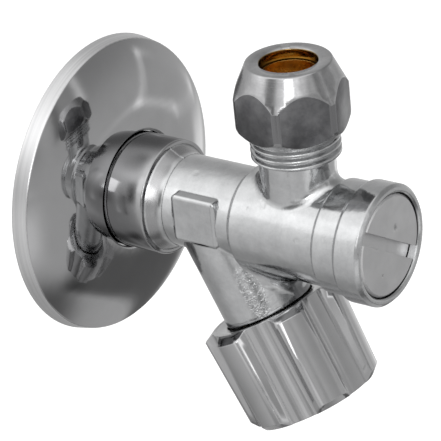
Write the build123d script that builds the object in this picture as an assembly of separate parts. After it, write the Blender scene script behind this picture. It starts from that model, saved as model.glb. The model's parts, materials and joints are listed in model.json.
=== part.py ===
from build123d import *
import math
import os

os.makedirs("parts", exist_ok=True)

# Frame: the inlet axis leaves the wall at the origin and runs along -Y, and +Z is up.
# Heights on the main axis are distances out from the wall.
# Heights on the headwork axis are distances from the main axis towards the knob.
# Heights on the outlet axis are plain Z heights.

# Clearances
RUNNING = 0.05
SEATED = 0.02
SLIDING = 0.1
FREE = 0.3
CUT = 1.0

# Inlet end, main axis
INLET_THREAD_R = 10.48
INLET_START = -13.0
INLET_THREAD_END = 0.5
INLET_BORE_R = 5.5
INLET_BORE_END = 30.5
THREAD_DEPTH = 0.9

# Wall sleeve and rosette
SLEEVE_R = 11.1
SLEEVE_WALL = 0.58
SLEEVE_START = 1.0
SLEEVE_END = 16.4
LIP_LENGTH = 0.7
LIP_DEPTH = 0.28
GUIDE_LENGTH = 10.0
ROSETTE_R = 28.95
ROSETTE_EDGE_R = 28.4
ROSETTE_RIM = 2.9
ROSETTE_HEIGHT = 7.9
ROSETTE_SHEET = 0.8
ROSETTE_BULGE = 1.2
ROSETTE_HOLE_GAP = 0.7

# Cast barrels, main axis
REAR_R = 8.85
COLLAR_END = 18.7
RIDGE_END = 19.0
RIDGE_TAPER = 17.5
FRONT_R = 10.0
STEP_D = 34.4
RING_R = 10.7
RING_START = 54.3
FRONT_COLLAR_R = 11.44
FRONT_COLLAR_START = 59.4
FACE_D = 64.4
FACE_BEVEL = 0.6

# Square pad on the left of the rear barrel
PAD_FACE_X = -9.5
PAD_ROOT_X = -6.0
PAD_START = 22.2
PAD_END = 31.9
PAD_BOTTOM = -3.7
PAD_TOP = 5.8
PAD_ROUND = 0.8

# Strainer chamber and plug bores, main axis
CHAMBER_R = 8.2
CHAMBER_START = 36.5
PLUG_THREAD_R = 9.0
PLUG_THREAD_START = 56.0
MOUTH_R = 9.88
MOUTH_START = 60.6

# Outlet axis
OUTLET_D = 45.4
NECK_R = 7.1
NECK_TOP = 14.7
OUTLET_THREAD_R = 8.33
OUTLET_TOP = 27.3
OUTLET_BORE_R = 4.0
TUBE_R = 5.0
SOCKET_BOTTOM = 18.5
SEAT_CONE_R = 6.3
SEAT_CONE_DEPTH = 2.2
NECK_BLEND = 2.2

# Headwork axis
BRANCH_D = 26.0
BRANCH_TILT = 63.0
BRANCH_R = 8.75
BRANCH_END = 20.9
BRANCH_BLEND = 3.0
REAR_BLEND = 1.0
SEAT_S = 9.6
SEAT_BORE_R = 4.5
SEAT_LIP = 0.8
SEAT_LIP_HEIGHT = 0.6
CAVITY_R = 6.8
HEADWORK_THREAD_R = 7.2
PORT_S = 12.0
PORT_R = 2.4
PORT_DEPTH = 8.2

# Headwork, plunger and spindle
LIFT = 3.75
SEAT_GAP = 0.05
WASHER_R = 5.5
WASHER_THICKNESS = 2.0
DISC_R = 5.9
DISC_THICKNESS = 1.65
STEM_R = 4.6
STEM_FLATS = 3.9
STEM_LENGTH = 7.7
SCREW_HEAD_R = 2.6
SCREW_HEAD_HEIGHT = 1.3
SCREW_R = 1.2
SCREW_SLOT = 0.7
HEX_AF = 15.0
HEX_HEIGHT = 5.5
HEADWORK_NECK_R = 5.6
HEADWORK_END = 33.2
SPINDLE_THREAD_R = 2.5
SPINDLE_R = 3.0
SHOULDER_R = 3.7
SHOULDER_THICKNESS = 1.1
O_RING_SECTION = 0.45
CIRCLIP_R = 4.2
CIRCLIP_THICKNESS = 0.6
DRIVE_AF = 4.2
DRIVE_LENGTH = 4.1

# Knob, headwork axis
KNOB_RIM = 21.4
KNOB_RIM_R = 12.0
KNOB_TOP = 22.6
KNOB_TOP_R = 14.15
KNOB_LOW = 40.2
KNOB_LOW_R = 13.5
KNOB_END = 41.5
FLUTES = 6
FLUTE_FLOOR_R = 11.9
FLUTE_HALF_ANGLE = 15.0
LAND_HALF_ANGLE = 12.5
LAND_ANGLE = 6.0
KNOB_OPENING_R = 11.2
KNOB_OPENING_DEPTH = 5.6
KNOB_CAVITY_R = 9.6
KNOB_FLOOR = 34.9
CAP_R = 8.0
CAP_THICKNESS = 1.0

# Compression nut and olive, outlet axis
NUT_AF = 19.0
NUT_ANGLE = 18.0
NUT_BOTTOM = 18.2
NUT_FOOT_R = 9.0
NUT_SHOULDER = 21.4
NUT_CORNER_R = 10.68
NUT_CONE_START = 27.4
NUT_TOP = 33.4
NUT_TOP_R = 7.9
NUT_HOLE_GAP = 0.37
OLIVE_BOTTOM = 26.0
OLIVE_END_R = 5.45
OLIVE_R = 6.3
OLIVE_CONE = 1.9
OLIVE_LENGTH = 5.1

# Plug and strainer, main axis
PLUG_FACE = 64.2
PLUG_BEVEL = 0.4
PLUG_HEAD_START = 60.9
PLUG_STEM_START = 56.4
SLOT_WIDTH = 2.45
SLOT_DEPTH = 1.7
SLOT_ANGLE = -33.0
PLUG_SEAL_SECTION = 0.55
SPIGOT_R = 4.0
SPIGOT_FLANGE_R = 4.9
SPIGOT_START = 52.9
SPIGOT_FLANGE = 0.8
STRAINER_R = 7.2
STRAINER_WALL = 0.5
STRAINER_START = 37.4
RING_GAP = 0.3
FRONT_RING_THICKNESS = 1.6
REAR_RING_THICKNESS = 1.4
STRAINER_SLOT_WIDTH = 1.6
STRAINER_SLOT_LENGTH = 3.6
STRAINER_SLOT_ROWS = 3
STRAINER_SLOT_COLUMNS = 4

tilt = math.radians(BRANCH_TILT)
MAIN = Plane((0, 0, 0), x_dir=(1, 0, 0), z_dir=(0, -1, 0)).location
OUTLET = Pos(0, -OUTLET_D, 0)
HEADWORK = Plane((0, -BRANCH_D, 0), x_dir=(1, 0, 0), z_dir=(0, -math.cos(tilt), -math.sin(tilt))).location


def turned(points, rounds=()):
    """Solid turned about Z from (height, radius) points; rounds lists (point index, radius)."""
    outline = [(radius, 0, height) for height, radius in points]
    face = make_face(Polyline(*outline, close=True))
    for index, round_radius in rounds:
        corner = face.vertices().sort_by_distance(outline[index])[0]
        face = fillet(corner, round_radius)
    return revolve(face, Axis.Z)


def rod(start, end, radius):
    """Plain cylinder about Z between two heights."""
    return Pos(0, 0, start) * Cylinder(radius, end - start, align=(Align.CENTER, Align.CENTER, Align.MIN))


def tube(start, end, outer, inner):
    """Cylinder about Z with a hole through it."""
    return rod(start, end, outer) - rod(start - CUT, end + CUT, inner)


def block(start, end, width, depth):
    """Box about Z between two heights."""
    return Pos(0, 0, start) * Box(width, depth, end - start, align=(Align.CENTER, Align.CENTER, Align.MIN))


def hexagon(start, end, across_flats, angle):
    """Hexagonal prism about Z; angle turns its first corner from +X."""
    outline = RegularPolygon(across_flats / 2, 6, major_radius=False, rotation=angle)
    return Pos(0, 0, start) * extrude(outline, end - start)


def o_ring(height, outer, section):
    """Ring of round section about Z that fills a groove of the given outer radius."""
    return Pos(0, 0, height) * Torus(outer - section, section - SEATED)


def blended(first, second, radius):
    """Two crossing cylinders joined, with a fillet along the curve where they meet."""
    joined = first + second
    seam = joined.edges().filter_by(GeomType.BSPLINE)
    return fillet(seam, radius)


def save(solid, name):
    """Write one piece under its own name."""
    export_step(solid, f"parts/{name}.step")


# Stations that follow from the sizes above
lip_start = SLEEVE_END - LIP_LENGTH
sleeve_inner_r = SLEEVE_R - SLEEVE_WALL
guide_r = sleeve_inner_r - SEATED
lip_inner_r = sleeve_inner_r - LIP_DEPTH
collar_r = lip_inner_r - SEATED
guide_start = lip_start - GUIDE_LENGTH
step_rise = FRONT_R - REAR_R
seat_floor = SEAT_S - SEAT_LIP_HEIGHT
washer_face = SEAT_S + SEAT_GAP
disc_start = washer_face + WASHER_THICKNESS
stem_start = disc_start + DISC_THICKNESS
stem_end = stem_start + STEM_LENGTH
tail_start = stem_start + LIFT + SLIDING
shoulder_start = stem_end + LIFT + SLIDING
shoulder_end = shoulder_start + SHOULDER_THICKNESS
spindle_tip = stem_start + LIFT + CUT
hex_start = BRANCH_END + SEATED
hex_end = hex_start + HEX_HEIGHT
circlip_start = HEADWORK_END + FREE
circlip_end = circlip_start + CIRCLIP_THICKNESS
drive_start = circlip_end + FREE
drive_end = drive_start + DRIVE_LENGTH
socket_r = TUBE_R + SLIDING
olive_bore_r = socket_r + RUNNING
plug_head_r = MOUTH_R - FREE
plug_stem_r = PLUG_THREAD_R - FREE

# Valve body: inlet end
inlet = turned(
    [
        (INLET_START, 0),
        (INLET_START, INLET_THREAD_R - THREAD_DEPTH),
        (INLET_START + THREAD_DEPTH, INLET_THREAD_R),
        (INLET_THREAD_END, INLET_THREAD_R),
        (INLET_THREAD_END, INLET_THREAD_R - THREAD_DEPTH),
        (guide_start, INLET_THREAD_R - THREAD_DEPTH),
        (guide_start, guide_r),
        (lip_start, guide_r),
        (lip_start, collar_r),
        (SLEEVE_END, collar_r),
        (COLLAR_END, REAR_R),
        (COLLAR_END, 0),
    ],
    [(10, 1.2)],
)
ridge = extrude(RegularPolygon(collar_r, 6, rotation=90), RIDGE_END - SLEEVE_END, taper=RIDGE_TAPER)
ridge = Pos(0, 0, SLEEVE_END) * ridge

# Valve body: barrels, branch and neck, blended where they cross
branch = HEADWORK * turned(
    [(0, 0), (0, BRANCH_R), (BRANCH_END, BRANCH_R), (BRANCH_END, 0)],
    [(2, 0.6)],
)
rear_barrel = MAIN * rod(SLEEVE_END, OUTLET_D, REAR_R)
front_barrel = MAIN * rod(SLEEVE_END, RING_START + CUT, FRONT_R)
neck = OUTLET * rod(0, NECK_TOP + CUT, NECK_R)
rear = blended(rear_barrel, branch, REAR_BLEND)
front = blended(front_barrel, branch, BRANCH_BLEND) + blended(front_barrel, neck, NECK_BLEND)
front_reach = BRANCH_END + OUTLET_TOP
front_zone = turned(
    [
        (STEP_D, 0),
        (STEP_D, REAR_R),
        (STEP_D + step_rise, FRONT_R),
        (STEP_D + front_reach, REAR_R + front_reach),
        (RING_START + front_reach, REAR_R + front_reach),
        (RING_START + front_reach, 0),
    ],
    [(2, 0.3)],
)
front = front & (MAIN * front_zone)

# Valve body: rings around the plug
ring_rise = RING_R - FRONT_R
collar_rise = FRONT_COLLAR_R - RING_R
rings = turned(
    [
        (RING_START - ring_rise, 0),
        (RING_START - ring_rise, FRONT_R),
        (RING_START, RING_R),
        (FRONT_COLLAR_START - collar_rise, RING_R),
        (FRONT_COLLAR_START, FRONT_COLLAR_R),
        (FACE_D - FACE_BEVEL, FRONT_COLLAR_R),
        (FACE_D, FRONT_COLLAR_R - FACE_BEVEL),
        (FACE_D, 0),
    ],
    [(2, 0.3), (4, 0.4), (5, 0.3)],
)

# Valve body: outlet thread
thread_rise = OUTLET_THREAD_R - NECK_R
outlet = turned(
    [
        (NECK_TOP, 0),
        (NECK_TOP, NECK_R),
        (NECK_TOP + thread_rise / 2, OUTLET_THREAD_R),
        (OUTLET_TOP - THREAD_DEPTH, OUTLET_THREAD_R),
        (OUTLET_TOP, OUTLET_THREAD_R - THREAD_DEPTH),
        (OUTLET_TOP, 0),
    ]
)

# Valve body: square pad
pad_depth = PAD_ROOT_X - PAD_FACE_X
pad = Box(pad_depth, PAD_END - PAD_START, PAD_TOP - PAD_BOTTOM, align=(Align.MIN, Align.MAX, Align.MIN))
pad = Pos(PAD_FACE_X, -PAD_START, PAD_BOTTOM) * pad
pad_corners = pad.edges().filter_by(Axis.X)
pad = fillet(pad_corners, PAD_ROUND)
pad_rim = pad.faces().sort_by(Axis.X)[0].edges()
pad = fillet(pad_rim, PAD_ROUND * 0.8)

# Valve body: waterway
cavity = rod(seat_floor, tail_start - SLIDING, CAVITY_R) - rod(seat_floor, SEAT_S, SEAT_BORE_R + SEAT_LIP)
branch_cuts = cavity + rod(tail_start - SLIDING, BRANCH_END + CUT, HEADWORK_THREAD_R)
branch_cuts += rod(0, SEAT_S + CUT, SEAT_BORE_R)
branch_cuts += Pos(0, 0, PORT_S) * Rot(-90, 0, 0) * rod(0, PORT_DEPTH, PORT_R)
main_cuts = rod(INLET_START - CUT, INLET_BORE_END, INLET_BORE_R)
main_cuts += rod(CHAMBER_START, PLUG_THREAD_START, CHAMBER_R)
main_cuts += rod(PLUG_THREAD_START, MOUTH_START, PLUG_THREAD_R)
main_cuts += turned(
    [
        (MOUTH_START, 0),
        (MOUTH_START, MOUTH_R),
        (FACE_D - FREE, MOUTH_R),
        (FACE_D + CUT, MOUTH_R + FREE + CUT),
        (FACE_D + CUT, 0),
    ]
)
outlet_cuts = rod(0, SOCKET_BOTTOM + CUT, OUTLET_BORE_R)
outlet_cuts += turned(
    [
        (SOCKET_BOTTOM, 0),
        (SOCKET_BOTTOM, socket_r),
        (OUTLET_TOP - SEAT_CONE_DEPTH, socket_r),
        (OUTLET_TOP, SEAT_CONE_R),
        (OUTLET_TOP + CUT, SEAT_CONE_R),
        (OUTLET_TOP + CUT, 0),
    ]
)
valve_body = rear + front + MAIN * inlet + MAIN * ridge + MAIN * rings + OUTLET * outlet + pad
valve_body = valve_body - MAIN * main_cuts - HEADWORK * branch_cuts - OUTLET * outlet_cuts
save(valve_body, "valve_body")

# Wall sleeve, pushed over the inlet end up to its front lip
sleeve = turned(
    [
        (SLEEVE_START, sleeve_inner_r),
        (SLEEVE_START, SLEEVE_R),
        (SLEEVE_END, SLEEVE_R),
        (SLEEVE_END, lip_inner_r),
        (lip_start, lip_inner_r),
        (lip_start, sleeve_inner_r),
    ],
    [(2, 0.35)],
)
save(MAIN * sleeve, "rosette_sleeve")

# Rosette, a domed sheet-metal cover that slides on the sleeve
rosette_hole_r = SLEEVE_R + ROSETTE_HOLE_GAP
dome_mid_r = (ROSETTE_EDGE_R + rosette_hole_r) / 2
dome_mid_d = (ROSETTE_RIM + ROSETTE_HEIGHT) / 2 + ROSETTE_BULGE
outer_rim = Line((ROSETTE_R, 0, 0), (ROSETTE_EDGE_R, 0, ROSETTE_RIM))
outer_dome = ThreePointArc(
    (ROSETTE_EDGE_R, 0, ROSETTE_RIM),
    (dome_mid_r, 0, dome_mid_d),
    (rosette_hole_r, 0, ROSETTE_HEIGHT),
)
hole_edge = Line((rosette_hole_r, 0, ROSETTE_HEIGHT), (rosette_hole_r, 0, ROSETTE_HEIGHT - ROSETTE_SHEET))
inner_dome = ThreePointArc(
    (rosette_hole_r, 0, ROSETTE_HEIGHT - ROSETTE_SHEET),
    (dome_mid_r - ROSETTE_SHEET / 2, 0, dome_mid_d - ROSETTE_SHEET),
    (ROSETTE_EDGE_R - ROSETTE_SHEET, 0, ROSETTE_RIM - ROSETTE_SHEET),
)
inner_rim = Line((ROSETTE_EDGE_R - ROSETTE_SHEET, 0, ROSETTE_RIM - ROSETTE_SHEET), (ROSETTE_R - ROSETTE_SHEET, 0, 0))
rim_foot = Line((ROSETTE_R - ROSETTE_SHEET, 0, 0), (ROSETTE_R, 0, 0))
rosette_section = make_face([outer_rim, outer_dome, hole_edge, inner_dome, inner_rim, rim_foot])
rim_corner = rosette_section.vertices().sort_by_distance((ROSETTE_EDGE_R, 0, ROSETTE_RIM))[0]
rosette_section = fillet(rim_corner, 0.6)
save(MAIN * revolve(rosette_section, Axis.Z), "rosette")

# Headwork, screwed into the branch, with a flatted bore that keeps the plunger from turning
stem_bore_r = STEM_R + SLIDING
stem_bore_flats = STEM_FLATS + SLIDING
headwork_thread_r = HEADWORK_THREAD_R - SEATED
seal_groove_r = headwork_thread_r - 2 * PLUG_SEAL_SECTION
seal_middle = BRANCH_END - 2 * PLUG_SEAL_SECTION
headwork_outside = turned(
    [
        (tail_start, 0),
        (tail_start, headwork_thread_r),
        (seal_middle - PLUG_SEAL_SECTION, headwork_thread_r),
        (seal_middle - PLUG_SEAL_SECTION, seal_groove_r),
        (seal_middle + PLUG_SEAL_SECTION, seal_groove_r),
        (seal_middle + PLUG_SEAL_SECTION, headwork_thread_r),
        (hex_start + CUT, headwork_thread_r),
        (hex_start + CUT, 0),
    ]
)
hex_part = hexagon(hex_start, hex_end, HEX_AF, 0)
headwork_neck = rod(hex_end, HEADWORK_END, HEADWORK_NECK_R)
stem_bore = rod(tail_start - CUT, shoulder_end + SLIDING, stem_bore_r)
stem_bore = stem_bore & block(tail_start - CUT, shoulder_end + SLIDING, 2 * stem_bore_r + CUT, 2 * stem_bore_flats)
journal_bore = rod(shoulder_end, HEADWORK_END + CUT, SPINDLE_R + RUNNING)
headwork = headwork_outside + hex_part + headwork_neck - stem_bore - journal_bore
save(HEADWORK * headwork, "headwork")
headwork_seal = o_ring(seal_middle, headwork_thread_r, PLUG_SEAL_SECTION)
save(HEADWORK * headwork_seal, "headwork_seal")

# Plunger that lifts off the seat, its rubber washer and the screw that holds it
bore_bottom = spindle_tip - LIFT - SLIDING
plunger = rod(disc_start, stem_start, DISC_R)
plunger += rod(stem_start, stem_end, STEM_R) & block(stem_start, stem_end, 2 * STEM_R + CUT, 2 * STEM_FLATS)
plunger -= rod(bore_bottom, stem_end + CUT, SPINDLE_THREAD_R + FREE)
plunger -= rod(disc_start - CUT, stem_start, SCREW_R + SEATED)
save(HEADWORK * plunger, "plunger")
washer = tube(washer_face, disc_start - SEATED, WASHER_R, SCREW_R + SEATED)
save(HEADWORK * washer, "seat_washer")
washer_screw_top = washer_face - SCREW_HEAD_HEIGHT
washer_screw = rod(washer_screw_top, washer_face - SEATED, SCREW_HEAD_R)
washer_screw += rod(washer_face - CUT, stem_start - SEATED, SCREW_R)
washer_screw -= block(washer_screw_top - CUT, washer_screw_top + SCREW_SLOT, 2 * SCREW_HEAD_R + CUT, SCREW_SLOT)
save(HEADWORK * washer_screw, "washer_screw")

# Spindle, its two seals and its circlip
groove_r = SPINDLE_R - 2 * O_RING_SECTION
seal_heights = [shoulder_end + 2.0, shoulder_end + 4.2]
spindle = rod(spindle_tip, shoulder_start, SPINDLE_THREAD_R)
spindle += rod(shoulder_start, shoulder_end, SHOULDER_R)
spindle += rod(shoulder_end, drive_start, SPINDLE_R)
spindle += block(drive_start, drive_end, DRIVE_AF, DRIVE_AF)
for height in seal_heights:
    spindle -= tube(height - O_RING_SECTION - SLIDING, height + O_RING_SECTION + SLIDING, SPINDLE_R + CUT, groove_r)
clip_groove_r = SPINDLE_THREAD_R
spindle -= tube(circlip_start - SEATED, circlip_end + SEATED, SPINDLE_R + CUT, clip_groove_r)
spindle -= rod(drive_start - CUT, drive_end + CUT, SCREW_R + SEATED)
save(HEADWORK * spindle, "spindle")
for number, height in enumerate(seal_heights, start=1):
    save(HEADWORK * o_ring(height, SPINDLE_R, O_RING_SECTION), f"spindle_o_ring_{number}")
circlip = tube(circlip_start, circlip_end, CIRCLIP_R, clip_groove_r + SEATED)
circlip -= Pos(0, CIRCLIP_R, 0) * block(circlip_start - CUT, circlip_end + CUT, SPINDLE_R, 2 * CIRCLIP_R)
save(HEADWORK * circlip, "spindle_circlip")

# Knob: fluted outside with draft, bevelled at both ends, hollow towards the headwork
pitch = 360 / FLUTES


def polar(radius, angle):
    """Point at an angle in degrees from +X."""
    return (radius * math.cos(math.radians(angle)), radius * math.sin(math.radians(angle)))


def knob_section(height, land_r, floor_r):
    """Outline of lands and flutes at one height, with small rounds on every corner."""
    edges = []
    for number in range(FLUTES):
        land = LAND_ANGLE + number * pitch
        flute = land + pitch / 2
        land_start = polar(land_r, land - LAND_HALF_ANGLE)
        land_end = polar(land_r, land + LAND_HALF_ANGLE)
        floor_start = polar(floor_r, flute - FLUTE_HALF_ANGLE)
        floor_end = polar(floor_r, flute + FLUTE_HALF_ANGLE)
        next_land_start = polar(land_r, land + pitch - LAND_HALF_ANGLE)
        edges.append(ThreePointArc(land_start, polar(land_r, land), land_end))
        edges.append(Line(land_end, floor_start))
        edges.append(ThreePointArc(floor_start, polar(floor_r, flute), floor_end))
        edges.append(Line(floor_end, next_land_start))
    section = make_face(edges)
    section = fillet(section.vertices(), 0.5)
    return Pos(0, 0, height) * section


knob_draft = (KNOB_TOP_R - KNOB_LOW_R) / (KNOB_LOW - KNOB_TOP)
rim_land_r = KNOB_TOP_R + knob_draft * (KNOB_TOP - KNOB_RIM)
end_land_r = KNOB_LOW_R - knob_draft * (KNOB_END - KNOB_LOW)
rim_section = knob_section(KNOB_RIM, rim_land_r, FLUTE_FLOOR_R)
end_section = knob_section(KNOB_END, end_land_r, FLUTE_FLOOR_R)
fluted = loft([rim_section, end_section], ruled=True)
bevels = turned(
    [
        (KNOB_RIM, 0),
        (KNOB_RIM, KNOB_RIM_R),
        (KNOB_TOP, KNOB_TOP_R),
        (KNOB_LOW, KNOB_LOW_R),
        (KNOB_END, KNOB_LOW_R - (KNOB_END - KNOB_LOW)),
        (KNOB_END, 0),
    ]
)
knob = fluted & bevels
opening_end = KNOB_RIM + KNOB_OPENING_DEPTH
cap_start = KNOB_END - CAP_THICKNESS
screw_seat = drive_end + SLIDING
knob -= rod(KNOB_RIM - CUT, opening_end, KNOB_OPENING_R)
knob -= rod(opening_end - CUT, KNOB_FLOOR, KNOB_CAVITY_R)
knob -= block(KNOB_FLOOR - CUT, screw_seat, DRIVE_AF + 2 * SEATED, DRIVE_AF + 2 * SEATED)
knob -= rod(screw_seat, KNOB_END, SCREW_HEAD_R + FREE)
knob -= rod(cap_start, KNOB_END + CUT, CAP_R)
save(HEADWORK * knob, "knob")
knob_screw_top = screw_seat + SEATED + SCREW_HEAD_HEIGHT
knob_screw = rod(screw_seat + SEATED, knob_screw_top, SCREW_HEAD_R)
knob_screw += rod(KNOB_FLOOR, screw_seat + CUT, SCREW_R)
knob_screw -= block(knob_screw_top - SCREW_SLOT, knob_screw_top + CUT, 2 * SCREW_HEAD_R + CUT, SCREW_SLOT)
save(HEADWORK * knob_screw, "knob_screw")
knob_cap = turned(
    [
        (cap_start + SEATED, 0),
        (cap_start + SEATED, CAP_R - SEATED),
        (KNOB_END, CAP_R - SEATED),
        (KNOB_END, 0),
    ],
    [(2, 0.3)],
)
save(HEADWORK * knob_cap, "knob_cap")

# Compression nut: hexagon below, long cone above, threaded inside up to the olive
nut_hole_r = TUBE_R + NUT_HOLE_GAP
nut_thread_r = OUTLET_THREAD_R + FREE
olive_top = OLIVE_BOTTOM + OLIVE_LENGTH
olive_shoulder = olive_top - OLIVE_CONE
nut_profile = turned(
    [
        (NUT_BOTTOM, 0),
        (NUT_BOTTOM, NUT_FOOT_R),
        (NUT_SHOULDER, NUT_CORNER_R),
        (NUT_CONE_START, NUT_CORNER_R),
        (NUT_TOP, NUT_TOP_R),
        (NUT_TOP, 0),
    ],
    [(2, 3.0), (3, 0.4), (4, 0.4)],
)
nut_bore = turned(
    [
        (NUT_BOTTOM - CUT, 0),
        (NUT_BOTTOM - CUT, nut_thread_r),
        (OUTLET_TOP + CUT, nut_thread_r),
        (olive_shoulder, OLIVE_R + FREE),
        (olive_top, OLIVE_END_R + FREE),
        (olive_top + FREE, nut_hole_r),
        (NUT_TOP - FREE, nut_hole_r),
        (NUT_TOP + CUT, nut_hole_r + FREE + CUT),
        (NUT_TOP + CUT, 0),
    ]
)
nut = (nut_profile & hexagon(NUT_BOTTOM, NUT_TOP, NUT_AF, NUT_ANGLE)) - nut_bore
save(OUTLET * nut, "compression_nut")
olive = turned(
    [
        (OLIVE_BOTTOM, olive_bore_r),
        (OLIVE_BOTTOM, OLIVE_END_R - SLIDING),
        (OLIVE_BOTTOM + OLIVE_CONE, OLIVE_R),
        (olive_shoulder, OLIVE_R),
        (olive_top, OLIVE_END_R),
        (olive_top, olive_bore_r),
    ]
)
save(OUTLET * olive, "olive")

# Slotted plug that closes the strainer chamber
plug = turned(
    [
        (SPIGOT_START, 0),
        (SPIGOT_START, SPIGOT_FLANGE_R),
        (SPIGOT_START + SPIGOT_FLANGE, SPIGOT_FLANGE_R),
        (SPIGOT_START + SPIGOT_FLANGE, SPIGOT_R),
        (PLUG_STEM_START, SPIGOT_R),
        (PLUG_STEM_START, plug_stem_r),
        (PLUG_HEAD_START - 2 * PLUG_SEAL_SECTION, plug_stem_r),
        (PLUG_HEAD_START - 2 * PLUG_SEAL_SECTION, plug_stem_r - 2 * PLUG_SEAL_SECTION),
        (PLUG_HEAD_START, plug_stem_r - 2 * PLUG_SEAL_SECTION),
        (PLUG_HEAD_START, plug_head_r),
        (PLUG_FACE - PLUG_BEVEL, plug_head_r),
        (PLUG_FACE, plug_head_r - PLUG_BEVEL),
        (PLUG_FACE, 0),
    ]
)
plug -= Rot(0, 0, SLOT_ANGLE) * block(PLUG_FACE - SLOT_DEPTH, PLUG_FACE + CUT, 2 * MOUTH_R, SLOT_WIDTH)
save(MAIN * plug, "filter_plug")
plug_seal = o_ring(PLUG_HEAD_START - PLUG_SEAL_SECTION, plug_stem_r, PLUG_SEAL_SECTION)
save(MAIN * plug_seal, "plug_o_ring")

# Strainer: slotted cylinder between two rings, clipped behind the plug
front_ring_end = PLUG_STEM_START - FREE
front_ring_start = front_ring_end - FRONT_RING_THICKNESS
rear_ring_end = STRAINER_START + REAR_RING_THICKNESS
ring_r = CHAMBER_R - RING_GAP
strainer_inner_r = STRAINER_R - STRAINER_WALL
strainer = tube(rear_ring_end, front_ring_start, STRAINER_R, strainer_inner_r)
row_pitch = (front_ring_start - rear_ring_end) / STRAINER_SLOT_ROWS
for row in range(STRAINER_SLOT_ROWS):
    slot_start = rear_ring_end + (row + 0.5) * row_pitch - STRAINER_SLOT_LENGTH / 2
    slot = block(slot_start, slot_start + STRAINER_SLOT_LENGTH, 2 * STRAINER_R + CUT, STRAINER_SLOT_WIDTH)
    for column in range(STRAINER_SLOT_COLUMNS):
        strainer -= Rot(0, 0, column * 180 / STRAINER_SLOT_COLUMNS) * slot
save(MAIN * strainer, "strainer")
save(MAIN * tube(STRAINER_START, rear_ring_end, ring_r, strainer_inner_r), "strainer_rear_ring")
save(MAIN * tube(front_ring_start, front_ring_end, ring_r, SPIGOT_R + FREE), "strainer_front_ring")
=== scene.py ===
import json
import math

import bmesh
import bpy
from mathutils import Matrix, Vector

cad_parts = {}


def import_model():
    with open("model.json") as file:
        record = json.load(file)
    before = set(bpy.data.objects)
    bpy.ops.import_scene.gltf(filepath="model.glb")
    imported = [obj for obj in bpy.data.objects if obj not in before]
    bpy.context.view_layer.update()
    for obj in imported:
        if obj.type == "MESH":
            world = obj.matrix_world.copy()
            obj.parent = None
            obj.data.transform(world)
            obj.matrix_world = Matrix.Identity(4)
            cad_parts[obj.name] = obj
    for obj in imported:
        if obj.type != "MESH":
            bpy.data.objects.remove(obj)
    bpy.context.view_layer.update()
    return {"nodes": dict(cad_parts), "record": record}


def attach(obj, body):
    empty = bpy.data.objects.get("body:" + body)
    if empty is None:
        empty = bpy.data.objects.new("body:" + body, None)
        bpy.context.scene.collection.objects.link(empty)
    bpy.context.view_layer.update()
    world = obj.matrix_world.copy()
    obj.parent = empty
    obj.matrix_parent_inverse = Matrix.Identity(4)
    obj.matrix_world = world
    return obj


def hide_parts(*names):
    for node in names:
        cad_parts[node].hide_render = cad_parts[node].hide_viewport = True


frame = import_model()
nodes = frame["nodes"]

# Lengths below are in millimetres unless MM turns them into metres
MM = 0.001
OUTLET_Y = -45.4
BRANCH_Y = -26.0
TILT = math.radians(63.0)
KNOB_AXIS = Vector((0, -math.cos(TILT), -math.sin(TILT)))
KNOB_UP = Vector((0, -math.sin(TILT), math.cos(TILT)))
ACROSS = Vector((1, 0, 0))

# Small marks: the rough patch on the branch, dents in the casting, pits in the plug's face
PATCH_CENTRE = [c * MM for c in (-7.2, -37.6, -12.2)]
PATCH_HALF_LENGTH = 6.5
PATCH_HALF_WIDTH = 2.5
DENTS = [(-3.4, -24.5, 8.2), (-8.0, -39.5, 6.0), (-7.4, -42.0, 6.7), (-9.6, -50.5, 2.6)]
PITS = [(2.2, -64.2, 2.8), (-3.1, -64.2, -4.6), (-4.4, -64.2, 1.4)]

# Pad: its extent along the barrel and in height, where its walls leave the barrel, how much of its
# height is kept, its crown (height squared over sag) and its shift
PAD_ALONG = (21.9, 32.2)
PAD_HEIGHTS = (-4.2, 6.2)
PAD_FOOT_X = -8.75
PAD_KEPT = 0.5
PAD_MIDDLE_Z = 1.0
PAD_CROWN = 40.0
PAD_SHIFT_Y = 0.3
PAD_SHIFT_Z = 0.25

# Bare waterways: radius of the inlet's; radius, start and end of the chamber's; radius and start
# of the outlet's and of the branch's
INLET_BORE = 5.6
CHAMBER = (9.1, 36.4, 60.65)
OUTLET_BORE = (6.5, 9.0)
BRANCH_BORE = (7.3, 8.9)

# Branch: from where its end is drawn out, how wide it is there, and by how much
BRANCH_END_FROM = 20.2
BRANCH_END_R = 9.0
BRANCH_GROWTH = 0.9

# Collar behind the thin barrel, as distance from the wall and radius; half width and height of the
# parting line on its top; radius beyond which the solid's ridge is taken away
COLLAR = [
    (16.38, 10.21), (16.6, 10.08), (17.0, 9.84), (17.4, 9.6), (17.8, 9.37), (18.1, 9.21),
    (18.4, 9.07), (18.7, 8.96), (19.0, 8.885), (19.3, 8.85), (19.5, 8.84),
]
PARTING = (0.16, 0.15)
RIDGE_BEYOND = 8.7

# Threads: steps in one pitch, run-out and half width of the groove in pitches, and a gain that
# flattens the groove's floor
THREAD_STEPS = 16
RUN_OUT = 0.3
GROOVE = 0.36
FLOOR_GAIN = 1.15

# Knob: angles from a land's middle to its edge, the flute's edge and the flute's middle, in the
# solid and as drawn; where the first land is and how far it is turned; radius of the plain core
SOLID_ANGLES = (0.0, 12.5, 15.0, 30.0)
DRAWN_ANGLES = (0.0, 12.0, 18.0, 30.0)
LAND_ANGLE = 6.0
LAND_TURN = 1.5
LAND_STEP = 60.0
CORE_R = 11.25
KNOB_SCALE = 0.9975

# Nut: height of the hexagon's lower face, and how much of the foot under it is kept
NUT_SHOULDER = 21.4
FOOT_KEPT = 0.56

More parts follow.
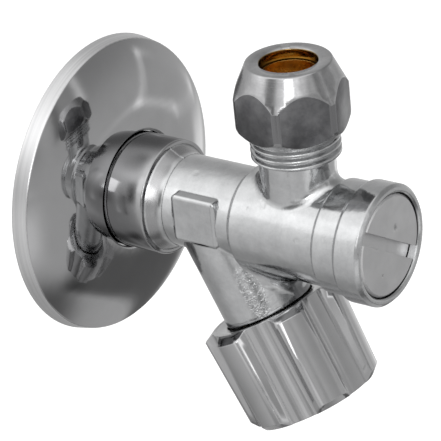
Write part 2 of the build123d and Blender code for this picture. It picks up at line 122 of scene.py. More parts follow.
# Rings, as radius and distance along their axis: the rosette's sheet turned inwards round its
# hole, the knob's thin rear lip round the branch, and a ring in the neck's wall that closes the
# flat on its wall side
FLANGE = [
    (12.35, 7.55), (12.0, 7.72), (11.6, 7.74), (11.36, 7.58),
    (11.3, 7.3), (11.3, 4.6), (11.6, 4.6), (12.1, 7.0),
]
LIP = [(11.3, 21.42), (9.25, 21.5), (8.98, 21.7), (8.98, 22.8), (9.3, 22.9), (11.3, 22.5)]
NECK = [(7.08, 8.5), (7.08, 14.9), (6.0, 14.9), (6.0, 8.5)]


# Node helpers
class Graph:
    """A material's node tree, with short calls for the nodes that are used here.

    Lengths given as distance, radius or unit are in millimetres.
    """

    def __init__(self, name):
        self.material = bpy.data.materials.new(name)
        self.material.use_nodes = True
        self.tree = self.material.node_tree
        self.tree.nodes.clear()
        self.output = self.tree.nodes.new("ShaderNodeOutputMaterial")
        self.place = self.tree.nodes.new("ShaderNodeTexCoord").outputs["Object"]

    def add(self, kind, **settings):
        node = self.tree.nodes.new("ShaderNode" + kind)
        for key, value in settings.items():
            setattr(node, key, value)
        return node

    def feed(self, socket, value):
        if isinstance(value, bpy.types.NodeSocket):
            self.tree.links.new(value, socket)
        else:
            socket.default_value = value

    def math(self, operation, *values, clamp=False):
        node = self.add("Math", operation=operation, use_clamp=clamp)
        for socket, value in zip(node.inputs, values):
            self.feed(socket, value)
        return node.outputs[0]

    def vector(self, operation, *values):
        node = self.add("VectorMath", operation=operation)
        for socket, value in zip(node.inputs, values):
            self.feed(socket, value)
        single = operation in ("LENGTH", "DOT_PRODUCT", "DISTANCE")
        return node.outputs["Value" if single else "Vector"]

    def split(self, vector):
        node = self.add("SeparateXYZ")
        self.feed(node.inputs[0], vector)
        return node.outputs

    def noise(self, scale, detail=3.0, vector=None, roughness=0.5):
        node = self.add("TexNoise")
        self.feed(node.inputs["Vector"], vector or self.place)
        node.inputs["Scale"].default_value = scale
        node.inputs["Detail"].default_value = detail
        node.inputs["Roughness"].default_value = roughness
        return node.outputs["Fac"]

    def cells(self, scale, vector=None):
        node = self.add("TexVoronoi")
        self.feed(node.inputs["Vector"], vector or self.place)
        node.inputs["Scale"].default_value = scale
        return node.outputs["Distance"]

    def ramp(self, value, low, high, out_low=0.0, out_high=1.0, smooth=False):
        node = self.add("MapRange", interpolation_type="SMOOTHSTEP" if smooth else "LINEAR")
        for socket, number in zip(node.inputs, (value, low, high, out_low, out_high)):
            self.feed(socket, number)
        return node.outputs[0]

    def stretched(self, scale, turn=(0, 0, 0)):
        node = self.add("Mapping")
        self.feed(node.inputs["Vector"], self.place)
        node.inputs["Rotation"].default_value = turn
        node.inputs["Scale"].default_value = scale
        return node.outputs[0]

    def mix(self, factor, first, second):
        node = self.add("Mix", data_type="RGBA")
        self.feed(node.inputs["Factor"], factor)
        for socket, value in zip(node.inputs[6:8], (first, second)):
            linked = isinstance(value, bpy.types.NodeSocket)
            self.feed(socket, value if linked else (*value, 1))
        return node.outputs[2]

    def mix_number(self, factor, first, second):
        node = self.add("Mix", data_type="FLOAT")
        sockets = (node.inputs[0], node.inputs[2], node.inputs[3])
        for socket, value in zip(sockets, (factor, first, second)):
            self.feed(socket, value)
        return node.outputs[0]

    def blob(self, centre, radius):
        """1 at a point given in millimetres, falling to 0 at the radius."""
        away = self.vector("DISTANCE", self.place, [c * MM for c in centre])
        return self.ramp(away, radius * MM, 0.0, smooth=True)

    def scaled(self, direction, amount):
        """A fixed direction times a changing amount."""
        node = self.add("VectorMath", operation="SCALE")
        node.inputs[0].default_value = direction
        self.feed(node.inputs["Scale"], amount)
        return node.outputs["Vector"]

    def square(self, value, unit):
        """The square of a length, in units given in millimetres."""
        units = self.math("ABSOLUTE", self.math("MULTIPLY", value, 1 / (unit * MM)))
        return self.math("POWER", units, 2.0)

    def bumped(self, height, distance, normal=None):
        node = self.add("Bump")
        node.inputs["Strength"].default_value = 1.0
        node.inputs["Distance"].default_value = distance * MM
        self.feed(node.inputs["Height"], height)
        if normal:
            self.feed(node.inputs["Normal"], normal)
        return node.outputs[0]

    def bevel(self, radius):
        node = self.add("Bevel", samples=4)
        node.inputs["Radius"].default_value = radius * MM
        return node.outputs[0]

    def metal(self, colour, roughness, normal, **values):
        shader = self.add("BsdfPrincipled")
        shader.inputs["Metallic"].default_value = 1.0
        self.feed(shader.inputs["Base Color"], colour)
        self.feed(shader.inputs["Roughness"], roughness)
        self.feed(shader.inputs["Normal"], normal)
        for key, value in values.items():
            self.feed(shader.inputs[key], value)
        self.tree.links.new(shader.outputs[0], self.output.inputs[0])
        return self.material


# Materials
def cast_chrome():
    """Chrome over a polished casting: wavy, lightly scuffed, rough in one patch on the branch."""
    g = Graph("cast_chrome")
    waves = g.bumped(g.noise(190, 2), 0.10, g.bevel(0.32))
    ripple = g.bumped(g.noise(620, 4, roughness=0.6), 0.030, waves)
    grain = g.bumped(g.noise(2400, 4, roughness=0.7), 0.006, ripple)
    offset = g.vector("SUBTRACT", g.place, PATCH_CENTRE)
    along = g.vector("DOT_PRODUCT", offset, KNOB_AXIS)
    across = g.vector("LENGTH", g.vector("SUBTRACT", offset, g.scaled(KNOB_AXIS, along)))
    squares = g.square(along, PATCH_HALF_LENGTH), g.square(across, PATCH_HALF_WIDTH)
    reach = g.math("ADD", *squares)
    spots = g.ramp(g.noise(1500, 2), 0.46, 0.54)
    patch = g.math("MULTIPLY", spots, g.ramp(reach, 1.0, 0.3, smooth=True))
    pitted = g.math("MULTIPLY", g.ramp(g.cells(3600), 0.22, 0.45), patch)
    rough = g.bumped(pitted, 0.075, grain)
    dents = g.blob(DENTS[0], 1.0)
    for dent in DENTS[1:]:
        dents = g.math("ADD", dents, g.blob(dent, 0.9))
    dents = g.math("MULTIPLY", dents, g.noise(900, 2))
    normal = g.bumped(dents, -0.10, rough)
    # the collar's cone is duller than the rest: rougher, and painted a darker grey as painted shade
    out = g.math("MULTIPLY", g.split(g.place)[1], -1.0 / MM)
    dull_shaded_cone = g.math("MULTIPLY", g.ramp(out, 16.5, 16.8), g.ramp(out, 18.9, 18.3))
    cloud = g.ramp(g.noise(300, 6, roughness=0.7), 0.3, 0.7)
    clean = g.mix(cloud, (0.45, 0.455, 0.46), (0.56, 0.565, 0.57))
    colour = g.mix(dull_shaded_cone, clean, (0.36, 0.36, 0.365))
    gloss = g.ramp(g.noise(420, 4), 0.3, 0.7, 0.09, 0.17)
    roughness = g.math("ADD", gloss, g.math("MULTIPLY", dull_shaded_cone, 0.12))
    return g.metal(colour, roughness, normal)


def mirror_chrome(name, grey, roughness, wave, bevel):
    """Smooth polished chrome with faint waves and small changes of gloss."""
    shade = (grey, grey, grey + 0.005)
    g = Graph(name)
    waves = g.bumped(g.noise(70, 1.5), wave, g.bevel(bevel))
    normal = g.bumped(g.noise(900, 3), 0.002, waves)
    cloud = g.ramp(g.noise(180, 3), 0.3, 0.7)
    colour = g.mix(cloud, [c * 0.96 for c in shade], [c * 1.04 for c in shade])
    gloss = g.ramp(g.noise(300, 3), 0.3, 0.7, roughness * 0.8, roughness * 1.25)
    return g.metal(colour, gloss, normal)


def rosette_chrome():
    """Mirror chrome on the dome, with a rougher, brush-marked rim whose paler grey is painted light.
    """
    g = Graph("rosette_chrome")
    x, y, z = g.split(g.place)
    away = g.math("POWER", g.math("ADD", g.square(x, 1.0), g.square(z, 1.0)), 0.5)
    rim = g.ramp(away, 28.25, 28.4)
    streaks = g.noise(1.0, 3, g.stretched((25, 2600, 25)))
    marks = g.math("MULTIPLY", streaks, rim)
    normal = g.bumped(marks, 0.012, g.bumped(g.noise(60, 1.5), 0.02, g.bevel(0.12)))
    cloud = g.ramp(g.noise(160, 3), 0.3, 0.7)
    dome = g.mix(cloud, (0.405, 0.405, 0.41), (0.435, 0.435, 0.44))
    # painted light: the rim's grey is paler than the dome's; its streaks and extra roughness are the
    # brush finish
    brushed_and_lit = g.mix(g.ramp(streaks, 0.35, 0.65), (0.58, 0.58, 0.585), (0.70, 0.70, 0.705))
    colour = g.mix(rim, dome, brushed_and_lit)
    gloss = g.ramp(g.noise(300, 3), 0.3, 0.7, 0.04, 0.065)
    roughness = g.math("ADD", gloss, g.math("MULTIPLY", rim, 0.30))
    return g.metal(colour, roughness, normal)


def nut_chrome():
    """Chrome, turned on the cone with brush marks on the flats, and bare brass inside; its greys are
    painted light and shade, lighter where faces point up and darker on upright faces and in the hole.
    """
    g = Graph("nut_chrome")
    x, y, z = g.split(g.place)
    off_axis = g.math("POWER", g.math("SUBTRACT", y, OUTLET_Y * MM), 2.0)
    away = g.math("POWER", g.math("ADD", g.math("MULTIPLY", x, x), off_axis), 0.5)
    away = g.math("MULTIPLY", away, 1 / MM)
    height = g.math("MULTIPLY", z, 1 / MM)
    upright = g.math("ABSOLUTE", g.split(g.add("NewGeometry").outputs["True Normal"])[2])
    # turned on slopes and beyond the flats, bare in the hollow that is below the rim and in the hole
    sloped = g.ramp(upright, 0.10, 0.2)
    turned = g.math("MAXIMUM", sloped, g.ramp(away, 10.50, 10.54))
    bore = g.math("MULTIPLY", g.ramp(away, 8.68, 8.66), g.ramp(height, 31.4, 31.3))
    bore = g.math("MAXIMUM", bore, g.ramp(away, 5.48, 5.42))
    rings = g.noise(1.0, 3, g.stretched((60, 60, 9000)))
    brush = g.noise(1.0, 4, g.stretched((420, 420, 5200), (0.25, 0.2, 0)))
    flat = g.math("SUBTRACT", 1.0, turned)
    marks = g.math("ADD", g.math("MULTIPLY", rings, turned), g.math("MULTIPLY", brush, flat))
    normal = g.bumped(marks, 0.014, g.bevel(0.15))
    cloud = g.ramp(g.noise(380, 5, roughness=0.65), 0.35, 0.68)
    # painted shade: the flats are a much darker grey than the cone, because they face sideways
    flats = g.mix(cloud, (0.115, 0.115, 0.12), (0.19, 0.19, 0.195))
    lit_slopes = g.mix(cloud, (0.35, 0.35, 0.355), (0.45, 0.45, 0.455))
    # painted light and shade: turned faces that point up get the lighter grey, upright turned faces
    # the darker 0.21
    outside = g.mix(turned, flats, g.mix(sloped, (0.21, 0.21, 0.215), lit_slopes))
    # bare brass in the hollow and the hole, its brown darkened as painted shade for the dark hole
    colour = g.mix(bore, outside, (0.30, 0.20, 0.075))
    roughness = g.ramp(turned, 0.0, 1.0, 0.38, 0.16)
    roughness = g.mix_number(bore, roughness, 0.10)
    return g.metal(colour, roughness, normal)


def satin_plug():
    """Satin chrome with a few pits."""
    g = Graph("plug_satin")
    grain = g.bumped(g.noise(2200, 3), 0.006, g.bevel(0.1))
    pits = g.blob(PITS[0], 0.95)
    for pit in PITS[1:]:
        pits = g.math("ADD", pits, g.blob(pit, 0.4))
    pits = g.math("MULTIPLY", pits, g.ramp(g.noise(1800, 3), 0.35, 0.65), clamp=True)
    normal = g.bumped(pits, -0.15, grain)
    cloud = g.ramp(g.noise(240, 4), 0.3, 0.7)
    clean = g.mix(cloud, (0.60, 0.60, 0.605), (0.68, 0.68, 0.685))
    colour = g.mix(g.math("MULTIPLY", pits, 0.7), clean, (0.12, 0.12, 0.12))
    roughness = g.ramp(g.noise(500, 3), 0.3, 0.7, 0.42, 0.52)
    return g.metal(colour, roughness, normal)


def brass(name, low, high, roughness):
    """Bare turned brass with fine rings and a tarnish that comes and goes."""
    g = Graph(name)
    rings = g.noise(1.0, 2, g.stretched((30, 30, 5000)))
    normal = g.bumped(rings, 0.02, g.bevel(0.08))
    tarnish = g.ramp(g.noise(350, 4), 0.35, 0.65)
    colour = g.mix(tarnish, low, high)
    gloss = g.ramp(g.noise(700, 3), 0.3, 0.7, roughness, roughness + 0.1)
    return g.metal(colour, gloss, normal)


def steel(name, shade, roughness):
    """Bright steel with a fine drawn grain."""
    g = Graph(name)
    lines = g.noise(1.0, 3, g.stretched((300, 4000, 300)))
    normal = g.bumped(lines, 0.006, g.bevel(0.05))
    colour = g.mix(g.ramp(lines, 0.3, 0.7), [c * 0.9 for c in shade], shade)
    gloss = g.ramp(g.noise(600, 3), 0.3, 0.7, roughness, roughness + 0.12)
    return g.metal(colour, gloss, normal)


def soft(name, dark, light, roughness):
    """Rubber or plastic, which isn't metal, with a fine matt grain."""
    g = Graph(name)
    normal = g.bumped(g.noise(2500, 3), 0.01)
    colour = g.mix(g.noise(600, 3), dark, light)
    gloss = g.ramp(g.noise(900, 3), 0.3, 0.7, roughness - 0.08, roughness + 0.08)
    return g.metal(colour, gloss, normal, Metallic=0.0)


chrome = cast_chrome()
inner_brass = brass("inner_brass", (0.45, 0.27, 0.08), (0.68, 0.45, 0.16), 0.22)
finishes = {
    "valve_body": chrome,
    "rosette": rosette_chrome(),
    # the sleeve's chrome is painted a darker grey than the rest, as painted shade for the darker
    # surroundings it reflects
    "rosette_sleeve": mirror_chrome("sleeve_chrome", 0.37, 0.09, 0.05, 0.12),
    "knob": mirror_chrome("knob_chrome", 0.47, 0.11, 0.06, 0.25),
    "knob_cap": mirror_chrome("cap_chrome", 0.46, 0.14, 0.02, 0.15),
    "compression_nut": nut_chrome(),
    "filter_plug": satin_plug(),
    "olive": brass("olive_brass", (0.60, 0.37, 0.10), (0.85, 0.58, 0.20), 0.18),
    # the headwork's brass is painted nearly black, as painted shade for the dark inside of the knob
    "headwork": brass("turned_brass", (0.10, 0.075, 0.04), (0.16, 0.12, 0.06), 0.35),
    "strainer": steel("strainer_steel", (0.5, 0.5, 0.51), 0.25),
    "spindle_circlip": steel("spring_steel", (0.42, 0.42, 0.43), 0.28),
    "strainer_rear_ring": soft("strainer_plastic", (0.62, 0.62, 0.60), (0.72, 0.72, 0.70), 0.45),
    "headwork_seal": soft("black_rubber", (0.012, 0.012, 0.012), (0.025, 0.025, 0.025), 0.55),
}
shared = {
    "spindle": "headwork",
    "plunger": "headwork",
    "knob_screw": "spindle_circlip",
    "washer_screw": "spindle_circlip",
    "strainer_front_ring": "strainer_rear_ring",
    "seat_washer": "headwork_seal",
    "plug_o_ring": "headwork_seal",
    "spindle_o_ring_1": "headwork_seal",
    "spindle_o_ring_2": "headwork_seal",
}
for name, like in shared.items():
    finishes[name] = finishes[like]
slots = {part["node"]: part["material_slot"] for part in frame["record"]["subparts"]}
for name, material in finishes.items():
    mesh = nodes[name].data
    mesh.materials.clear()
    mesh.materials.append(material)


# The casting, with thread ridges cut where the solid has plain cylinders
def ring_of(bm, to_local, height, radius):
    """Boundary vertices on one circle, in order of their angle."""
    near = 0.02 * MM
    found = []
    for vert in bm.verts:
        p = to_local(vert.co)
        if abs(p.z - height) < near and abs(math.hypot(p.x, p.y) - radius) < near:
            if any(edge.is_boundary for edge in vert.link_edges):
                found.append((math.atan2(p.y, p.x), vert))
    found.sort(key=lambda item: item[0])
    return found


def cut_thread(bm, to_local, to_row, low, high, radius, pitch, depth):
    """Puts a helical thread between two heights, in place of the plain faces there."""
    near = 0.01 * MM
    gone = []
    for face in bm.faces:
        points = [to_local(vert.co) for vert in face.verts]
        radii = [math.hypot(p.x, p.y) for p in points]
        heights = [p.z for p in points]
        if min(radii) < radius - depth - near or max(radii) > radius + near:
            continue
        within = min(heights) > low - near and max(heights) < high + near
        if within and max(heights) - min(heights) > near:
            gone.append(face)
    bmesh.ops.delete(bm, geom=gone, context="FACES")
    first = ring_of(bm, to_local, low, radius)
    last = ring_of(bm, to_local, high, radius)
    angles = [angle for angle, vert in first]
    rows = round((high - low) / (pitch / THREAD_STEPS))
    previous = [vert for angle, vert in first]
    for row in range(1, rows):
        height = low + (high - low) * row / rows
        into = min(height - low, high - height)
        fade = min(1.0, into / (RUN_OUT * pitch))
        line = []
        for angle in angles:
            phase = (height / pitch - angle / (2 * math.pi)) % 1.0
            groove = max(0.0, 1.0 - abs(phase - 0.5) / GROOVE)
            r = radius - depth * fade * min(1.0, FLOOR_GAIN * groove)
            point = Vector((r * math.cos(angle), r * math.sin(angle), height))
            line.append(bm.verts.new(to_row(point)))
        for i in range(len(line)):
            k = (i + 1) % len(line)
            bm.faces.new((previous[i], previous[k], line[k], line[i])).smooth = True
        previous = line
    following = previous[1:] + previous[:1]
    ring_edges = [bm.edges.get(pair) for pair in zip(previous, following)]
    last_edges = []
    verts = {vert for angle, vert in last}
    for edge in bm.edges:
        if edge.is_boundary and edge.verts[0] in verts and edge.verts[1] in verts:
            last_edges.append(edge)
    bridged = bmesh.ops.bridge_loops(bm, edges=ring_edges + last_edges)
    for face in bridged["faces"]:
        face.smooth = True


def outlet_local(p):
    return Vector((p.x, p.y - OUTLET_Y * MM, p.z))


def outlet_row(p):
    return Vector((p.x, p.y + OUTLET_Y * MM, p.z))


def inlet_local(p):
    return Vector((p.x, -p.z, p.y))


def inlet_row(p):
    return Vector((p.x, p.z, -p.y))


def inside(p):
    """True for a point on the machined waterways, which are bare brass."""
    from_main = math.hypot(p.x, p.z) / MM
    out = -p.y / MM
    from_outlet = math.hypot(p.x, p.y - OUTLET_Y * MM) / MM
    offset = p - Vector((0, BRANCH_Y * MM, 0))
    along = offset.dot(KNOB_AXIS) / MM
    from_knob = math.hypot(offset.x, offset.dot(KNOB_UP)) / MM
    if from_main < INLET_BORE or (from_main < CHAMBER[0] and CHAMBER[1] < out < CHAMBER[2]):
        return True
    if from_outlet < OUTLET_BORE[0] and p.z > OUTLET_BORE[1] * MM:
        return True
    return from_knob < BRANCH_BORE[0] and along > BRANCH_BORE[1]


def soften(bm, flow):
    """A lower, slightly crowned pad and a longer branch end than the solid has."""
    for vert in bm.verts:
        x, out, z = vert.co.x / MM, -vert.co.y / MM, vert.co.z / MM
        on_pad = PAD_ALONG[0] < out < PAD_ALONG[1] and PAD_HEIGHTS[0] < z < PAD_HEIGHTS[1]
        if x < PAD_FOOT_X and on_pad:
            crown = (z - PAD_MIDDLE_Z) ** 2 / PAD_CROWN
            vert.co.x = (PAD_FOOT_X + (x - PAD_FOOT_X) * PAD_KEPT + crown) * MM
            vert.co.y += PAD_SHIFT_Y * MM
            vert.co.z -= PAD_SHIFT_Z * MM
            # a zero normal is worked out anew from the moved faces
            for loop in vert.link_loops:
                loop[flow] = (0, 0, 0)
        offset = vert.co - Vector((0, BRANCH_Y * MM, 0))
        away = math.hypot(offset.x, offset.dot(KNOB_UP)) / MM
        if offset.dot(KNOB_AXIS) / MM > BRANCH_END_FROM and away < BRANCH_END_R:
            vert.co += KNOB_AXIS * (BRANCH_GROWTH * MM)


def collar(bm):
    """A plain coned collar with the parting line on top, in place of the six-sided ridge."""
    bmesh.ops.bisect_plane(
        bm,
        geom=list(bm.verts) + list(bm.edges) + list(bm.faces),
        dist=1e-7,
        plane_co=(0, -COLLAR[-1][0] * MM, 0),
        plane_no=(0, 1, 0),
    )
    start, end = COLLAR[0][0] - 0.01, COLLAR[-1][0] + 0.01
    gone = []
    for face in bm.faces:
        spans = [(-vert.co.y / MM, math.hypot(vert.co.x, vert.co.z) / MM) for vert in face.verts]
        if all(start < d < end and r > RIDGE_BEYOND for d, r in spans):
            gone.append(face)
    bmesh.ops.delete(bm, geom=gone, context="FACES")
    rows = []
    columns = 480
    for d, r in COLLAR:
        row = []
        for k in range(columns):
            angle = 2 * math.pi * k / columns
            off_top = abs(angle - math.pi / 2) * r
            ridge = PARTING[1] * max(0.0, 1.0 - off_top / PARTING[0])
            reach = (r + ridge) * MM
            row.append(bm.verts.new((reach * math.cos(angle), -d * MM, reach * math.sin(angle))))
        rows.append(row)
    for low, high in zip(rows, rows[1:]):
        for k in range(columns):
            n = (k + 1) % columns
            bm.faces.new((low[k], high[k], high[n], low[n])).smooth = True


def casting():
    """A copy of the cast body with threads on its inlet and outlet."""
    source = nodes["valve_body"].data
    bm = bmesh.new()
    bm.from_mesh(source)
    flow = bm.loops.layers.float_vector.new("flow")
    normals = [corner.vector.copy() for corner in source.corner_normals]
    index = 0
    for face in bm.faces:
        for loop in face.loops:
            loop[flow] = normals[index]
            index += 1
    for place, start, end, radius, pitch, depth in THREADS:
        cut_thread(bm, *place, start * MM, end * MM, radius * MM, pitch * MM, depth * MM)
    collar(bm)
    soften(bm, flow)
    for face in bm.faces:
        face.material_index = 1 if inside(face.calc_center_median()) else 0
    mesh = bpy.data.meshes.new("body_casting")
    bm.to_mesh(mesh)
    bm.free()
    kept = [tuple(item.vector) for item in mesh.attributes["flow"].data]
    mesh.normals_split_custom_set(kept)
    mesh.attributes.remove(mesh.attributes["flow"])
    mesh.materials.append(chrome)
    mesh.materials.append(inner_brass)
    placed(mesh, "body_casting", "body", "body_chrome", "valve_body")


def placed(mesh, name, body, slot, *replaced):
    """Puts a new mesh on a body, in place of the CAD nodes that it stands for."""
    piece = bpy.data.objects.new(name, mesh)
    bpy.context.scene.collection.objects.link(piece)
    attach(piece, body)
    if replaced:
        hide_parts(*replaced)
    return piece


def reshaped(node, name, body, move, sharp):
    """A copy of a CAD node with its points moved, smooth up to an angle in degrees."""
    source = nodes[node].data
    bm = bmesh.new()
    bm.from_mesh(source)
    bmesh.ops.remove_doubles(bm, verts=bm.verts, dist=2e-6)
    for vert in bm.verts:
        move(vert.co)
    bmesh.ops.dissolve_degenerate(bm, edges=bm.edges, dist=1e-6)
    for face in bm.faces:
        face.smooth = True
    mesh = bpy.data.meshes.new(name)
    bm.to_mesh(mesh)
    bm.free()
    mesh.set_sharp_from_angle(angle=math.radians(sharp))
    mesh.materials.append(finishes[node])
    placed(mesh, name, body, slots[node], node)


def flute(co):
    """Wider slopes between lands and flutes than the solid has, and lands turned a little."""
    offset = co - Vector((0, BRANCH_Y * MM, 0))
    along = offset.dot(KNOB_AXIS)
    x, y = offset.x, offset.dot(KNOB_UP)
    r = math.hypot(x, y)
    if r < CORE_R * MM:
        return
    angle = math.degrees(math.atan2(y, x)) - LAND_ANGLE
    near = round(angle / LAND_STEP) * LAND_STEP
    part = angle - near
    old, new = SOLID_ANGLES, DRAWN_ANGLES
    for k in range(3):
        if old[k] <= abs(part) <= old[k + 1]:
            share = (abs(part) - old[k]) / (old[k + 1] - old[k])
            turned = math.copysign(new[k] + share * (new[k + 1] - new[k]), part)
            break
    angle = math.radians(LAND_ANGLE - LAND_TURN + near + turned)
    r *= KNOB_SCALE
    moved = KNOB_AXIS * along + ACROSS * (r * math.cos(angle)) + KNOB_UP * (r * math.sin(angle))
    co.xyz = moved + Vector((0, BRANCH_Y * MM, 0))


def nut_foot(co):
    """A shorter foot under the hexagon, so that more of the outlet thread shows."""
    if co.z < NUT_SHOULDER * MM:
        co.z = NUT_SHOULDER * MM - (NUT_SHOULDER * MM - co.z) * FOOT_KEPT


def turned_ring(name, profile, start_y, along, node, body):
    """A closed ring round an axis, from points given as radius and distance along the axis.

    The axis starts at start_y on the main axis; the ring takes its finish from a node.
    """
    start = Vector((0, start_y * MM, 0))
    upward = along.cross(ACROSS)
    columns = 192
    bm = bmesh.new()
    rows = []
    for r, s in profile:
        row = []
        for k in range(columns):
            angle = 2 * math.pi * k / columns
            outwards = ACROSS * math.cos(angle) + upward * math.sin(angle)
            row.append(bm.verts.new(start + along * (s * MM) + outwards * (r * MM)))
        rows.append(row)
    for low, high in zip(rows, rows[1:] + rows[:1]):
        for k in range(columns):
            n = (k + 1) % columns
            bm.faces.new((low[k], low[n], high[n], high[k])).smooth = True
    bmesh.ops.recalc_face_normals(bm, faces=bm.faces)
    mesh = bpy.data.meshes.new(name)
    bm.to_mesh(mesh)
    bm.free()
    mesh.set_sharp_from_angle(angle=math.radians(40))
    mesh.materials.append(finishes[node])
    placed(mesh, name, body, slots[node])


# place, start, end, radius, pitch and depth of each thread
THREADS = [
    ((outlet_local, outlet_row), 15.315, 26.4, 8.33, 1.337, 0.85),
    ((inlet_local, inlet_row), -0.5, 12.1, 10.48, 1.814, 1.1),
]
casting()
reshaped("knob", "fluted_knob", "knob", flute, 24)
reshaped("compression_nut", "hexagon_nut", "nut", nut_foot, 24)
turned_ring("rosette_flange", FLANGE, 0.0, Vector((0, -1, 0)), "rosette", "rosette")
turned_ring("neck_wall", NECK, OUTLET_Y, Vector((0, 0, 1)), "valve_body", "body")
turned_ring("knob_lip", LIP, BRANCH_Y, KNOB_AXIS, "knob", "knob")


# Stage: a pale floor, and round it a studio tent that only reflections show
def direction(azimuth, elevation):
    """Unit vector; azimuth 0 is the front, -90 the left."""
    az = math.radians(azimuth)
    el = math.radians(elevation)
    return Vector((math.sin(az) * math.cos(el), -math.cos(az) * math.cos(el), math.sin(el)))


ROOM = 0.62
# azimuth, elevation, strength, half width, half height in degrees, and how hard its edge is
PANELS = [
    (-130, 31, 0.45, 13, 12, 6),
    (-130, 27, 0.62, 38, 34, 3),
    (-102, 20, -0.80, 13, 20, 4),
    (-45, 38, 1.00, 38, 24, 3),
    (-95, 62, 0.50, 80, 22, 3),
    (50, 35, -0.27, 60, 28, 3),
    (66, -41, -0.46, 38, 11, 10),
    (-176, -50, -0.24, 40, 20, 3),
    (-90, -25, 0.12, 50, 22, 3),
    (-70, -70, -0.38, 14, 12, 3),
    (-24, -24, 0.40, 14, 12, 3),
    (95, -28, 0.60, 10, 8, 4),
    (-2, -58, -0.46, 17, 13, 3),
    (130, -80, -0.40, 14, 9, 3),
    (-56, 4, -0.36, 7, 9, 3),
    (-14, 22, -0.34, 9, 16, 3),
]
# seams and folds of the tent, light or dark: ends as azimuth and elevation, strength, width in degrees
SEAMS = [
    ((64, 8), (51, -10), 0.35, 1.8),
    ((64, 8), (95, -16), 0.30, 1.8),
    ((51, -10), (68, -16), 0.30, 1.8),
    ((68, -16), (95, -16), 0.25, 1.8),
    ((51, -10), (20, -12), 0.22, 1.8),
    ((20, -12), (-20, -5), 0.22, 1.8),
    ((-30, -6), (-27, 32), -0.50, 2.6),
    ((-42, -8), (-38, 30), 0.55, 2.4),
    ((-72, -18), (-70, 14), 0.50, 2.6),
    ((-84, -20), (-82, 10), -0.45, 3.0),
    ((8, 10), (8, 36), -0.30, 3.0),
    ((25, 13), (25, 34), 0.50, 2.4),
]


def glow_of(d):
    """Brightness of the tent in one direction: a grey room with soft panels and sewn seams."""
    glow = ROOM
    azimuth = math.degrees(math.atan2(d.x, -d.y))
    elevation = math.degrees(math.asin(max(-1.0, min(1.0, d.z))))
    for az, el, strength, width, height, edge in PANELS:
        across = ((azimuth - az + 180) % 360 - 180) * math.cos(math.radians(elevation)) / width
        upward = (elevation - el) / height
        glow += strength * math.exp(-((across ** 4 + upward ** 4) ** (edge / 4)))
    for first, last, strength, width in SEAMS:
        start = direction(*first)
        run = direction(*last) - start
        part = max(0.0, min(1.0, (d - start).dot(run) / run.dot(run)))
        away = math.degrees((d - start - run * part).length) / width
        glow += strength * math.exp(-away * away)
    return max(0.04, glow)


CENTRE = Vector((0, -0.035, 0))
FLOOR_Z = -0.13
FLOOR_WHITE = 0.62
TENT_R = 1.0


def tent():
    """A sphere round the valve, seen only in the metal and by the floor."""
    columns, rows = 240, 120
    mesh = bpy.data.meshes.new("tent")
    verts = []
    for row in range(rows):
        elevation = -89.9 + 179.8 * row / (rows - 1)
        for column in range(columns):
            verts.append(direction(360 * column / columns, elevation))
    faces = []
    for row in range(rows - 1):
        for column in range(columns):
            a = row * columns + column
            b = row * columns + (column + 1) % columns
            faces.append((a, a + columns, b + columns, b))
    mesh.from_pydata([CENTRE + vert * TENT_R for vert in verts], [], faces)
    layer = mesh.attributes.new("glow", "FLOAT", "POINT")
    layer.data.foreach_set("value", [glow_of(vert) for vert in verts])
    g = Graph("tent")
    attribute = g.add("Attribute", attribute_name="glow")
    light = g.add("Emission")
    g.tree.links.new(attribute.outputs["Fac"], light.inputs["Strength"])
    g.tree.links.new(light.outputs[0], g.output.inputs[0])
    mesh.materials.append(g.material)
    piece = bpy.data.objects.new("tent", mesh)
    bpy.context.scene.collection.objects.link(piece)
    piece.visible_camera = False


def disc(name, radius, height):
    """A flat round sheet at one height, as a mesh."""
    mesh = bpy.data.meshes.new(name)
    columns = 96
    middle = Vector((CENTRE.x, CENTRE.y, height))
    verts = [middle + direction(360 * k / columns, 0) * radius for k in range(columns)]
    mesh.from_pydata(verts, [], [tuple(range(columns))])
    piece = bpy.data.objects.new(name, mesh)
    bpy.context.scene.collection.objects.link(piece)
    return piece


def seen(g):
    """1 for rays that show the background: camera, glossy and transmission rays."""
    path = g.add("LightPath").outputs
    total = g.math("MAXIMUM", path["Is Camera Ray"], path["Is Glossy Ray"])
    return g.math("MAXIMUM", total, path["Is Transmission Ray"])


def floor():
    """A white floor that keeps the shadow: part of its white is its own."""
    piece = disc("floor", 4.0, FLOOR_Z)
    piece.visible_glossy = False
    g = Graph("floor")
    paper = g.add("BsdfDiffuse")
    paper.inputs["Color"].default_value = (FLOOR_WHITE, FLOOR_WHITE, FLOOR_WHITE, 1)
    glow = g.add("Emission")
    g.feed(glow.inputs["Strength"], g.math("MULTIPLY", seen(g), FLOOR_WHITE))
    both = g.add("AddShader")
    g.tree.links.new(paper.outputs[0], both.inputs[0])
    g.tree.links.new(glow.outputs[0], both.inputs[1])
    g.tree.links.new(both.outputs[0], g.output.inputs[0])
    piece.data.materials.append(g.material)


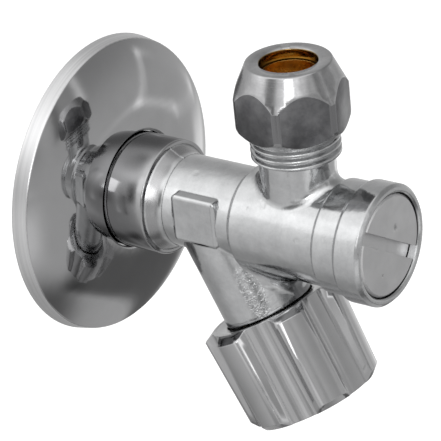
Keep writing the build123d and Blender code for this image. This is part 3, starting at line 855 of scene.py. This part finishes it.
def world():
    """White where the camera, metal or glass sees past the stage, and plain grey otherwise."""
    scene_world = bpy.data.worlds.new("studio")
    bpy.context.scene.world = scene_world
    scene_world.use_nodes = True
    tree = scene_world.node_tree
    tree.nodes.clear()
    path = tree.nodes.new("ShaderNodeLightPath").outputs
    sky = tree.nodes.new("ShaderNodeBackground")
    output = tree.nodes.new("ShaderNodeOutputWorld")
    first = tree.nodes.new("ShaderNodeMath")
    first.operation = "MAXIMUM"
    second = tree.nodes.new("ShaderNodeMath")
    second.operation = "MAXIMUM"
    level = tree.nodes.new("ShaderNodeMapRange")
    level.inputs["To Min"].default_value = 0.7
    level.inputs["To Max"].default_value = 1.0
    tree.links.new(path["Is Camera Ray"], first.inputs[0])
    tree.links.new(path["Is Glossy Ray"], first.inputs[1])
    tree.links.new(first.outputs[0], second.inputs[0])
    tree.links.new(path["Is Transmission Ray"], second.inputs[1])
    tree.links.new(second.outputs[0], level.inputs["Value"])
    tree.links.new(level.outputs[0], sky.inputs["Strength"])
    tree.links.new(sky.outputs[0], output.inputs[0])


def lamp(name, azimuth, elevation, distance, width, height, radiance):
    """A rectangular softbox aimed at the valve. radiance is how bright it looks in a mirror."""
    data = bpy.data.lights.new(name, "AREA")
    data.shape = "RECTANGLE"
    data.size = width
    data.size_y = height
    data.energy = radiance * math.pi * width * height
    piece = bpy.data.objects.new(name, data)
    bpy.context.scene.collection.objects.link(piece)
    d = direction(azimuth, elevation)
    piece.location = CENTRE + d * distance
    piece.rotation_euler = d.to_track_quat("Z", "Y").to_euler()


tent()
floor()
world()
lamp("key_light", -58, 24, 0.8, 0.25, 0.30, 2.6)


# Camera, from a fit of the valve's circles and axes to the photograph
def camera():
    azimuth, elevation, roll = math.radians(-52.21), math.radians(26.73), math.radians(6.10)
    distance, shift_x, shift_y = 500.0, 6.75, 0.96
    pixels, frame_pixels = 2688.9, 441
    right = Vector((math.cos(azimuth), math.sin(azimuth), 0))
    back = Vector((
        math.sin(azimuth) * math.cos(elevation),
        -math.cos(azimuth) * math.cos(elevation),
        math.sin(elevation),
    ))
    up = back.cross(right)
    across = math.cos(roll) * right - math.sin(roll) * up
    upward = math.sin(roll) * right + math.cos(roll) * up
    data = bpy.data.cameras.new("camera")
    data.sensor_width = 36.0
    data.lens = pixels * data.sensor_width / frame_pixels
    data.clip_start = 0.01
    data.clip_end = 20.0
    piece = bpy.data.objects.new("camera", data)
    bpy.context.scene.collection.objects.link(piece)
    place = CENTRE / MM + back * distance - across * shift_x - upward * shift_y
    matrix = piece.matrix_world.to_3x3()
    for row in range(3):
        matrix[row] = (across[row], upward[row], back[row])
    matrix = matrix.to_4x4()
    matrix.translation = place * MM
    piece.matrix_world = matrix
    bpy.context.scene.camera = piece


camera()
bpy.context.scene.view_settings.view_transform = "Standard"
